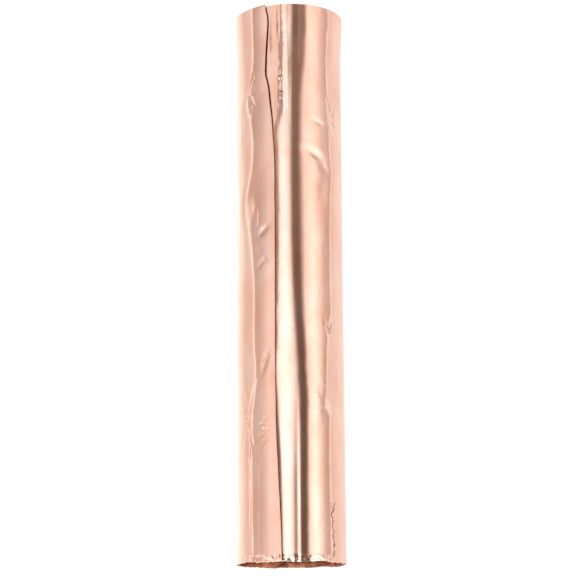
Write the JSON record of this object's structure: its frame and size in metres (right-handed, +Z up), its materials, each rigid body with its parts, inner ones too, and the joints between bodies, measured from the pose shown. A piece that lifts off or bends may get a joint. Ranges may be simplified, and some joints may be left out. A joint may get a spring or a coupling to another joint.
{
  "type": "copper foil tape roll",
  "caption": "Wide adhesive-backed copper foil wound with a paper release liner on a paper core tube, lying on its side, with a loose tail that lifts.",
  "frame": {"origin": "on the surface that the roll lies on, under the middle of the roll", "axes": "+Y along the roll's axis towards its clean-cut far end, +Z up, +X to the right when looking along +Y"},
  "size_m": [0.0588, 0.305, 0.0579],
  "materials": {
    "copper_foil": "polished copper foil",
    "liner_paper": "smooth siliconised paper",
    "core_board": "matt kraft paperboard",
    "starter_tape": "translucent double-sided tape"
  },
  "bodies": {
    "roll": {"core_tube": "core_board", "starter_tape": "starter_tape", "foil_winding": "copper_foil", "liner_winding": "liner_paper", "foil_outer_turn": "copper_foil"},
    "foil_tail": {"foil_tail": "copper_foil"},
    "liner_tail": {"liner_tail": "liner_paper"}
  },
  "joints": [
    {"name": "tail_lift", "type": "hinge", "parent": "roll", "child": "foil_tail", "pos_m": [-0.02915, 0, 0.03264], "axis": [0, -1, 0], "range_deg": [0, 70]},
    {"name": "liner_part", "type": "hinge", "parent": "roll", "child": "liner_tail", "pos_m": [-0.0287, 0, 0.03258], "axis": [0, -1, 0], "range_deg": [0, 40]}
  ],
  "couplings": [
    {"joint": "liner_part", "follows": "tail_lift", "ratio": 0.5}
  ]
}
